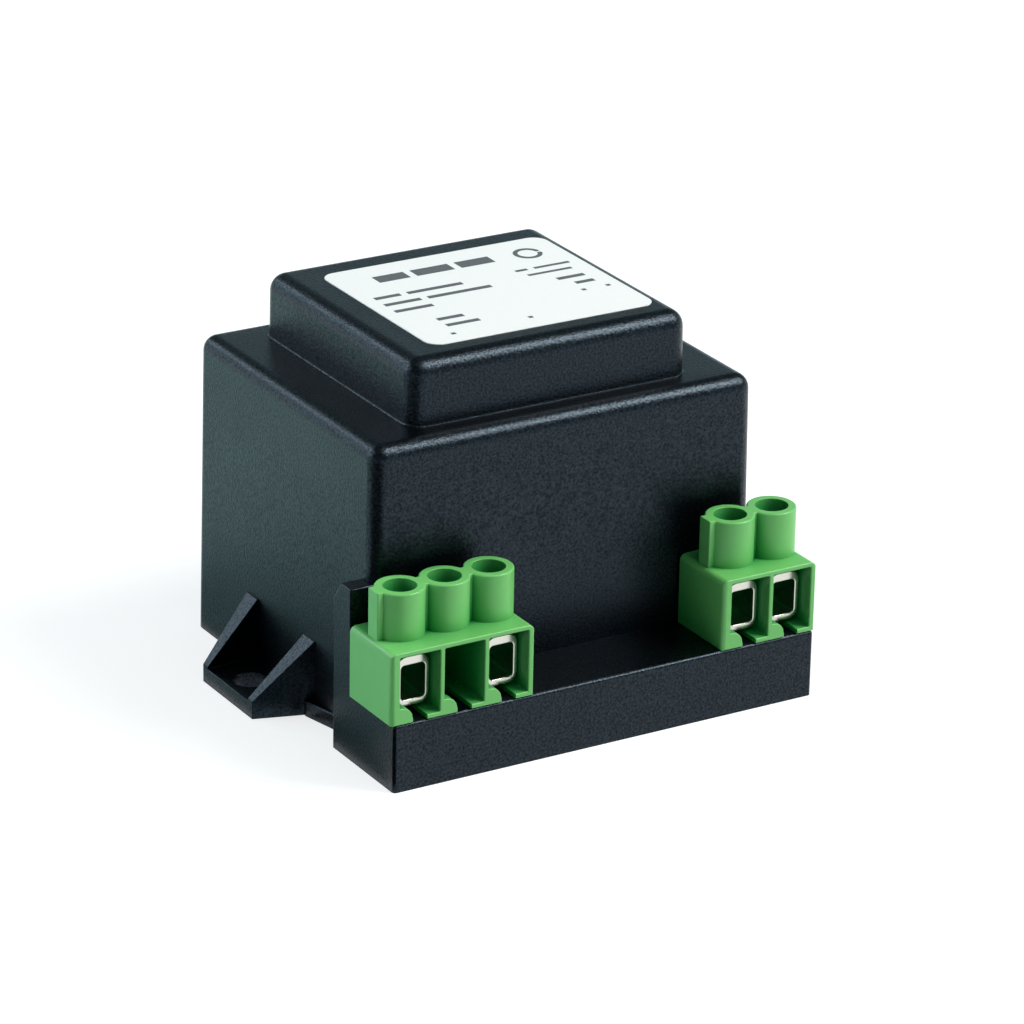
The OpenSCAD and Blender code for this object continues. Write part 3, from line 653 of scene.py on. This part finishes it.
def terminal_body(s, name, low, high, lefts):
    """Body of a terminal housing: its front view, with round top corners, carried backwards and kept within
    its plan, with round front corners, less the room of each pole and the slot for a pin in its floor."""
    front_view = [(low.z, high.x), (low.z, low.x), (high.z, low.x), (high.z, high.x)]
    view_r = [s.soft_r, s.soft_r, s.end_edge_r, s.end_edge_r]
    body = prism(name, "y", front_view, low.y, high.y, s.soft_r, view_r, steps=6)
    # The plan stands a hair outside the body, so that no two faces lie in one plane
    hair = BITE / 200
    left, right, front, back = low.x - hair, high.x + hair, low.y - hair, high.y + BITE
    plan = [(left, front), (right, front), (right, back), (left, back)]
    plan_r = [s.front_edge_r, s.right_edge_r, s.soft_r, s.soft_r]
    bound = prism("plan", "z", plan, low.z - BITE, high.z + BITE, s.soft_r, plan_r, steps=6)
    cuts = []
    for x in lefts:
        room_low = Vector((x, low.y, low.z + s.floor))
        room_high = Vector((x + s.pitch - s.divider, high.y - s.back_wall, high.z - s.plate))
        slot_low = (x + s.tab_w, low.y - BITE, low.z - BITE)
        slot_high = (x + s.pitch / 2 + s.slot_reach, low.y + s.slot_l, low.z + s.floor + BITE)
        cuts += [pole_room(s, "room", room_low, room_high), block("slot", slot_low, slot_high)]
    return carve([body], cuts, [bound])


def pole_parts(s, left, low, high):
    """Chimney, web and stop tab of a pole, and its bore as a cut. The chimney and the bore are profiles with
    round edges, turned round the screw's axis, the web is a carried plan, and the tab is a carried front view
    with a round end."""
    axis_x, axis_y = left + s.pitch / 2, low.y + s.axis_depth
    axis = (axis_x, axis_y)
    outer_r, inner_r = s.bore / 2 + s.chimney_wall, s.bore / 2
    top = high.z - s.chimney_h
    foot = top - s.plate / 2
    rim_in, rim_down = round_edge(s.rim_r, steps=4)
    chimney = turned("chimney", axis, [outer_r, *(outer_r - rim_in)], [foot, *(high.z - rim_down)])
    mouth_out, mouth_down = round_edge(s.mouth_r, steps=4)
    bore_r = [inner_r, *(inner_r + mouth_out), inner_r + s.mouth_r]
    bore_z = [top - s.plate - BITE, *(high.z - mouth_down), high.z + BITE]
    bore = turned("bore", axis, bore_r, bore_z)
    web_x, front, back = axis_x - s.web_reach, axis_y - s.web_t / 2, axis_y + s.web_t / 2
    plan = [(web_x, front), (axis_x, front), (axis_x, back), (web_x, back)]
    web = prism("web", "z", plan, foot, high.z, s.soft_r)
    tab_left, tab_right, tab_top = left - s.divider / 2, left + s.tab_w, low.z + s.tab_h
    bend_in, bend_down = round_edge(s.tab_r, steps=4)
    bend = np.stack([tab_top - bend_down, tab_right - bend_in], -1)[::-1].tolist()
    view = [(tab_top, tab_left), *bend, (low.z, tab_right), (low.z, tab_left)]
    tab = prism("tab", "y", view, low.y, low.y + s.tab_d, s.tab_edge_r)
    return [chimney, web, tab], bore


class TRANSFORMER_OT_terminal_housings(bpy.types.Operator):
    """Builds the two green terminal housings, with a screw chimney, a web and a stop tab at each pole"""

    bl_idname = "transformer.terminal_housings"
    bl_label = "Terminal housings"

    def execute(self, context):
        s = context.scene.terminal_sizes
        material = satin_green_nylon(context.scene.finishes)
        for side in BLOCKS:
            node = f"{side}_terminal_housing"
            low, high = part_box(node)
            poles = round((high.x - low.x - s.end_wall - s.right_wall + s.divider) / s.pitch)
            lefts = low.x + s.end_wall + s.pitch * np.arange(poles)
            body_high = Vector((high.x, high.y, high.z - s.chimney_h))
            solids = [terminal_body(s, f"{side}_terminals", low, body_high, lefts)]
            cuts = []
            for left in lefts:
                parts, bore = pole_parts(s, left, low, high)
                solids += parts
                cuts.append(bore)
            piece = carve(solids, cuts)
            finish_piece(piece, material, node)
        return {"FINISHED"}


def clamp_ring(s, name, low, high):
    """Bent strip seen from the front: its section runs from the window's edge over the round front lip to the
    outside, back along the outside, and over the rear lip to the window again, round a rounded rectangle."""
    ease_in, ease_out = round_edge(s.lip_r, steps=4)
    half_w, half_h = (high.x - low.x) / 2, (high.z - low.z) / 2
    window_w, window_h = half_w - s.side_t, half_h - (s.top_t + s.floor_t) / 2
    grow = np.concatenate([ease_in, -ease_out, -ease_in, ease_out])
    outside = np.repeat([0, 1, 1, 0], len(ease_in))
    depth = np.concatenate([low.y + ease_out, low.y + ease_in, high.y - ease_out, high.y - ease_in])
    middle = (low.z + high.z) / 2 + np.where(outside, 0, (s.floor_t - s.top_t) / 2)
    loop_z, loop_x = round_loop(
        np.where(outside, half_h, window_h) + grow,
        np.where(outside, half_w, window_w) + grow,
        np.where(outside, s.bend_r, s.window_r) + grow,
        steps=6,
    )
    points = stacked(loop_z + middle[:, None], loop_x + (low.x + high.x) / 2, depth, "y")
    return loft(name, points, ring=True)


class TRANSFORMER_OT_clamp_boxes(bpy.types.Operator):
    """Builds the four bright clamp boxes, each with the hole for its screw through the top"""

    bl_idname = "transformer.clamp_boxes"
    bl_label = "Clamp boxes"

    def execute(self, context):
        s = context.scene.clamp_sizes
        material = plated_metal("bright_nickel_plate", context.scene.finishes.nickel, roughness=0.2)
        for pole in POLES:
            node = pole.format("clamp_box")
            low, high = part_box(node)
            screw_low, screw_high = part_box(pole.format("clamp_screw"))
            axis = ((screw_low + screw_high) / 2)[:2]
            bore_r = s.screw_d / 2 + s.thread_room
            bore = turned("bore", axis, [bore_r] * 2, [high.z - s.top_t - BITE, high.z + BITE])
            piece = carve([clamp_ring(s, pole.format("clamp"), low, high)], [bore])
            finish_piece(piece, material, node)
        return {"FINISHED"}


def threaded_screw(s, name, axis, low, high):
    """Cheese-head screw: rows of circles from the tip up, where the radius of the shank dips by the thread's
    depth along a helix, as a triangle wave of the height in pitches less the turn. The thread fades out under
    the head, and a cone leads into it at the tip."""
    segments, rows_a_pitch = 48, 8
    turn = np.linspace(0, 2 * math.pi, segments, endpoint=False)
    shank_r, head_r = s.screw_d / 2, (high.x - low.x) / 2
    head_z = high.z - s.head_h
    shank_z = np.arange(low.z, head_z, s.thread_pitch / rows_a_pitch)
    wave = np.abs(2 * ((shank_z[:, None] / s.thread_pitch - turn / (2 * math.pi)) % 1.0) - 1)
    fade = np.clip((head_z - shank_z) / (2 * s.thread_pitch), 0, 1)[:, None]
    lead_in = s.thread_depth * np.clip(1 - (shank_z - low.z) / s.thread_pitch, 0, 1)[:, None]
    shank = shank_r - np.maximum(s.thread_depth * wave * fade, lead_in)
    edge_in, edge_down = round_edge(s.head_edge_r, steps=4)
    head = np.concatenate([[shank_r, head_r], head_r - edge_in])
    radii = np.concatenate([shank, np.broadcast_to(head[:, None], (len(head), segments))])
    heights = np.concatenate([shank_z, [head_z, head_z], high.z - edge_down])
    loop_x, loop_y = axis[0] + radii * np.cos(turn), axis[1] + radii * np.sin(turn)
    screw = loft(name, stacked(loop_x, loop_y, heights, "z"))
    half_x, half_y = head_r + BITE, s.slot_w / 2
    slot_low = (axis[0] - half_x, axis[1] - half_y, high.z - s.slot_depth)
    slot_high = (axis[0] + half_x, axis[1] + half_y, high.z + BITE)
    return carve([screw], [block("slot", slot_low, slot_high)])


class TRANSFORMER_OT_clamp_screws(bpy.types.Operator):
    """Builds the four slotted clamp screws with their threads, each on its own body"""

    bl_idname = "transformer.clamp_screws"
    bl_label = "Clamp screws"

    def execute(self, context):
        s = context.scene.clamp_sizes
        material = plated_metal("zinc_plated_steel", context.scene.finishes.zinc, roughness=0.3)
        for pole in POLES:
            node = pole.format("clamp_screw")
            low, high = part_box(node)
            axis = ((low + high) / 2)[:2]
            piece = threaded_screw(s, pole.format("screw_with_thread"), axis, low, high)
            finish_piece(piece, material, node, pole.format("screw"))
        return {"FINISHED"}


def strokes(name, paths, width, low, high):
    """Flat print: each path is a line whose two sides lie half a width along its normals, at two heights. The
    section's four corners are carried along the path and closed at its ends."""
    points, faces = [], []
    for path, path_w in zip(paths, width):
        path = np.asarray(path, float)
        along = np.gradient(path, axis=0)
        normal = np.stack([-along[:, 1], along[:, 0]], -1) / np.linalg.norm(along, axis=1)[:, None]
        across = normal * path_w / 2
        corners = [(path + across, low), (path - across, low), (path - across, high), (path + across, high)]
        rows = np.stack([np.column_stack([flat, np.full(len(path), z)]) for flat, z in corners], 1)
        faces += skin(*rows.shape[:2], first=sum(len(p) for p in points))
        points.append(rows.reshape(-1, 3))
    return new_object(name, np.concatenate(points), faces)


def print_layout(s, low, high):
    """Paths and widths of the print: a heading of three heavy bars, rows of plain bars and a ring. Each row
    starts at a share of the label's width and depth from its left back corner. Its bars are lengths in
    millimetres, and its weight is their width in strokes."""
    heading = [(0.17, 0.17, [3.6, 4.4, 4.0], 3.6)]
    left_rows = [(0.06, 0.38, [3.0, 6.4], 1.4), (0.06, 0.47, [4.2, 7.4], 1.4), (0.06, 0.56, [4.4], 1.4)]
    right_rows = [(0.7, 0.36, [1.4, 4.2], 1.0), (0.72, 0.43, [5.2], 1.0)]
    right_rows += [(0.8, 0.53, [3.2], 1.4), (0.84, 0.61, [2.2], 1.4)]
    foot_rows = [(0.16, 0.73, [3.0], 1.4), (0.16, 0.81, [3.8], 1.4)]
    dots = [(0.13, 0.91), (0.48, 0.89), (0.82, 0.7), (0.93, 0.7)]
    rows = heading + left_rows + right_rows + foot_rows + [(*dot, [0.5], 1.0) for dot in dots]
    paths, widths = [], []
    for across, down, bars, weight in rows:
        x = low.x + across * (high.x - low.x)
        y = high.y - down * (high.y - low.y)
        for bar in bars:
            paths.append([(x, y), (x + bar * MM, y)])
            widths.append(s.stroke * weight)
            x += bar * MM + s.gap
    ring_across, ring_down, opening = 0.85, 0.18, 0.1
    turn = np.linspace(opening, 2 * math.pi - opening, 41)
    ring_x, ring_y = low.x + ring_across * (high.x - low.x), high.y - ring_down * (high.y - low.y)
    paths.append(np.column_stack([ring_x + s.ring_r * np.cos(turn), ring_y + s.ring_r * np.sin(turn)]))
    widths.append(s.stroke)
    return paths, widths


class TRANSFORMER_OT_label(bpy.types.Operator):
    """Builds the white label, thinner by its ink, and the plain print, which ends at the label's height"""

    bl_idname = "transformer.label"
    bl_label = "Label"

    def execute(self, context):
        s = context.scene.label_sizes
        look = context.scene.finishes
        low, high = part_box("rating_label")
        film_top = high.z - s.ink_t
        edge_in, edge_down = round_edge(s.edge_r, steps=3)
        ease = np.concatenate([[0], edge_in])
        heights = np.concatenate([[low.z], film_top - edge_down])
        half, middle = (high - low) / 2, (low + high) / 2
        loop_x, loop_y = round_loop(half.x - ease, half.y - ease, s.corner_r - ease, steps=10)
        film = loft("label_film", stacked(loop_x + middle.x, loop_y + middle.y, heights, "z"))
        white = speckled("white_polyester_film", look.film_white, linear("#eef0f0"), 0.6, 0.34, 0.004)
        finish_piece(film, white, "rating_label")
        paths, widths = print_layout(s, low, high)
        ink = strokes("label_print", paths, widths, low.z, high.z)
        grey = speckled("thermal_print", look.ink_grey, linear("#6a6f73"), 0.12, 0.6)
        finish_piece(ink, grey, None)
        return {"FINISHED"}


class TRANSFORMER_OT_inner_works(bpy.types.Operator):
    """Gives the resin, the core, the coil, the pins and the leads their finishes"""

    bl_idname = "transformer.inner_works"
    bl_label = "Resin, core, coil, pins and leads"

    def execute(self, context):
        look = context.scene.finishes
        sheets = striped("electrical_sheet_stack", look.steel_grey, linear("#4d5054"), 0.5, "Z", 1.0, 0.42)
        turns = striped("enamelled_copper_turns", look.copper, linear("#6e3a17"), 0.3, "Y", 0.8, 0.3)
        tape = speckled("polyester_winding_tape", look.tape_yellow, linear("#cfa42f"), 2.0, 0.22)
        nylon = speckled("natural_nylon", look.bobbin_cream, linear("#cfc8b2"), 1.2, 0.5)
        tin = plated_metal("tinned_brass", look.tin, roughness=0.34)
        red = speckled("red_sleeving", look.primary_red, linear("#a5332a"), 0.5, 0.4)
        blue = speckled("blue_sleeving", look.secondary_blue, linear("#29549a"), 0.5, 0.4)
        resin = speckled("filled_casting_resin", look.resin_brown, linear("#1d1a17"), 2.5, 0.35, 0.2)
        finishes = {
            "potting_compound": resin, "e_laminations": sheets, "i_laminations": sheets, "bobbin": nylon,
        }
        for side, sleeve in zip(BLOCKS, (red, blue)):
            finishes.update({f"{side}_winding": turns, f"{side}_tape": tape})
            finishes.update({f"{side}_pin_{n}": tin for n in (1, 2)})
            finishes.update({f"{side}_lead_{n}": sleeve for n in (1, 2)})
        for node, material in finishes.items():
            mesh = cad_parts[node].data
            mesh.materials.clear()
            mesh.materials.append(material)
        return {"FINISHED"}


def flat_card(name, outline_mm, material):
    """Thin card on the floor, with its outline in millimetres, seen by gloss alone, so that it only paints a
    reflection.
    """
    low, high, edge_r = 0.02 * MM, 0.12 * MM, 0.04 * MM
    card = prism(name, "z", np.array(outline_mm) * MM, low, high, edge_r)
    card.data.materials.append(material)
    for kind in ("camera", "diffuse", "shadow", "transmission"):
        setattr(card, f"visible_{kind}", False)


def seen_floor(s):
    """Matt pale floor that is white to the eye: it adds some light of its own for the rays of the camera, of
    gloss and of glass alone, so that the object's shadow stays on it and no more light reaches the object."""
    drift_mm = 40.0
    material, tree, shader, place = new_material("pale_floor")
    drift = add_node(tree, "TexNoise", {"Vector": place, "Scale": 1 / (drift_mm * MM)})
    tone = add_node(tree, "Mix", {
        "Factor": drift.outputs["Fac"], "A": s.floor_pale, "B": linear("#a6aaac"),
    }, data_type="RGBA")
    path = add_node(tree, "LightPath")
    seen = path.outputs["Is Camera Ray"]
    for kind in ("Is Glossy Ray", "Is Transmission Ray"):
        either = add_node(tree, "Math", {0: seen, 1: path.outputs[kind]}, operation="MAXIMUM")
        seen = either.outputs["Value"]
    glow = add_node(tree, "Math", {0: seen, 1: s.floor_glow}, operation="MULTIPLY")
    set_inputs(tree, shader, {
        "Base Color": tone.outputs["Result"], "Roughness": 1.0, "Specular IOR Level": 0.0,
        "Emission Color": linear("#ffffff"), "Emission Strength": glow.outputs["Value"],
    })
    return material


def studio_sky(s):
    """World of one pale tint that dims with height and towards the left front."""
    world = bpy.data.worlds.new("studio")
    world.use_nodes = True
    tree = world.node_tree
    tree.nodes.clear()
    direction = add_node(tree, "TexCoord").outputs["Generated"]
    height = add_node(tree, "SeparateXYZ", {"Vector": direction}).outputs["Z"]
    left_front = (-0.8, -0.6, 0.0)
    front = add_node(tree, "VectorMath", {0: direction, 1: left_front}, operation="DOT_PRODUCT")
    dim = add_node(tree, "MapRange", {
        "Value": height, "From Min": 0.08, "From Max": 0.42, "To Min": 1.0, "To Max": 0.22,
    })
    shade = add_node(tree, "MapRange", {
        "Value": front.outputs["Value"], "From Min": 0.0, "From Max": 0.8, "To Min": 1.0, "To Max": 0.45,
    })
    level = add_node(tree, "Math", {
        0: dim.outputs["Result"], 1: shade.outputs["Result"],
    }, operation="MULTIPLY")
    sky = add_node(tree, "Background", {"Color": s.sky_tint, "Strength": level.outputs["Value"]})
    add_node(tree, "OutputWorld", {"Surface": sky.outputs["Background"]})
    return world


def soft_box(name, aim, radiance, tint, azimuth, elevation, width):
    """Square lamp that faces the object. Its power is its radiance times its area times pi."""
    distance = 0.8
    a, e = math.radians(azimuth), math.radians(elevation)
    back = Vector((math.sin(a) * math.cos(e), -math.cos(a) * math.cos(e), math.sin(e)))
    lamp = bpy.data.lights.new(name, "AREA")
    lamp.shape = "SQUARE"
    lamp.size = width
    lamp.energy = radiance * math.pi * width ** 2
    lamp.color = linear(tint)[:3]
    holder = bpy.data.objects.new(name, lamp)
    holder.location = aim + back * distance
    holder.rotation_mode = "QUATERNION"
    holder.rotation_quaternion = (-back).to_track_quat("-Z", "Y")
    bpy.context.scene.collection.objects.link(holder)


class TRANSFORMER_OT_stage(bpy.types.Operator):
    """Sets up the pale floor, the soft lights and the camera"""

    bl_idname = "transformer.stage"
    bl_label = "Studio"

    def execute(self, context):
        s = context.scene.stage_settings
        scene = context.scene
        scene.view_settings.view_transform = "Standard"
        aim = Vector(s.aim)
        level = math.cos(s.elevation)
        back = Vector((-math.sin(s.azimuth) * level, -math.cos(s.azimuth) * level, math.sin(s.elevation)))
        camera = bpy.data.objects.new("camera", bpy.data.cameras.new("camera"))
        camera.data.lens = s.focal
        camera.data.clip_start, camera.data.clip_end = 0.01, 20.0
        turn = (-back).to_track_quat("-Z", "Y").to_matrix().to_4x4() @ Matrix.Rotation(s.roll, 4, "Z")
        camera.matrix_world = Matrix.Translation(aim + back * s.distance) @ turn
        scene.collection.objects.link(camera)
        scene.camera = camera

        half, under, top = 4.0, -0.02, -0.02 * MM
        floor = block("floor", (-half, -half, under), (half, half, top))
        floor.data.materials.append(seen_floor(s))
        # Cards on the floor that only gloss shows, as painted reflections: black paints the dark line in the
        # case's upright edges and darkens a spot on the lug, pale and grey paint the cool tone of the left
        # sides
        black = speckled("black_card", linear("#030303"), linear("#050505"), 4.0, 1.0)
        pale = speckled("pale_card", linear("#d6f8f6"), linear("#d2f5f3"), 4.0, 1.0)
        grey = speckled("grey_card", linear("#8cb0ae"), linear("#88acaa"), 4.0, 1.0)
        flat_card("black_card", [(-30, -14), (-157, 10), (-157, -161), (-54, -161), (-24, -26)], black)
        flat_card("pale_card", [(-29, -12), (-29, 160), (-200, 160), (-200, 42)], pale)
        flat_card("grey_card", [(-25.2, -21), (-25.2, -4.2), (-29, -4.2), (-29, -12.3)], grey)
        flat_card("lug_card", [(-24.9, -10), (-23.6, -10), (-23.6, -3.6), (-24.9, -3.6)], black)
        flat_card("back_card", [(-28.9, 12), (-22.8, 12), (-22.8, 160), (-28.9, 160)], pale)

        warm, cool = "#fffaf3", "#ecf8ff"
        soft_box("key_front_right", aim, s.key, warm, azimuth=57, elevation=46, width=0.36)
        soft_box("lamp_front", aim, s.front, warm, azimuth=18, elevation=60, width=0.5)
        soft_box("fill_left", aim, s.fill, cool, azimuth=238, elevation=26, width=0.5)
        soft_box("rim_back_left", aim, s.rim, cool, azimuth=206, elevation=28, width=0.2)
        scene.world = studio_sky(s)
        return {"FINISHED"}


OPERATORS = [
    TRANSFORMER_OT_moulded_case, TRANSFORMER_OT_terminal_housings, TRANSFORMER_OT_clamp_boxes,
    TRANSFORMER_OT_clamp_screws, TRANSFORMER_OT_label, TRANSFORMER_OT_inner_works, TRANSFORMER_OT_stage,
]
SETTINGS = {
    "case_sizes": CaseSizes, "terminal_sizes": TerminalSizes, "clamp_sizes": ClampSizes,
    "label_sizes": LabelSizes, "finishes": Finishes, "stage_settings": StageSettings,
}


class TRANSFORMER_PT_looks(bpy.types.Panel):
    """Lists the pieces and their settings"""

    bl_idname = "TRANSFORMER_PT_looks"
    bl_label = "Transformer"
    bl_space_type = "VIEW_3D"
    bl_region_type = "UI"
    bl_category = "Transformer"

    def draw(self, context):
        for operator in OPERATORS:
            self.layout.operator(operator.bl_idname)
        for name, group in SETTINGS.items():
            box = self.layout.box()
            for setting in group.__annotations__:
                box.prop(getattr(context.scene, name), setting)


def register():
    for cls in [*SETTINGS.values(), *OPERATORS, TRANSFORMER_PT_looks]:
        bpy.utils.register_class(cls)
    for name, group in SETTINGS.items():
        setattr(bpy.types.Scene, name, bpy.props.PointerProperty(type=group))


def unregister():
    for name in SETTINGS:
        delattr(bpy.types.Scene, name)
    for cls in reversed([*SETTINGS.values(), *OPERATORS, TRANSFORMER_PT_looks]):
        bpy.utils.unregister_class(cls)


def main():
    register()
    bpy.ops.transformer.moulded_case()
    bpy.ops.transformer.terminal_housings()
    bpy.ops.transformer.clamp_boxes()
    bpy.ops.transformer.clamp_screws()
    bpy.ops.transformer.label()
    bpy.ops.transformer.inner_works()
    bpy.ops.transformer.stage()


if __name__ == "__main__":
    main()
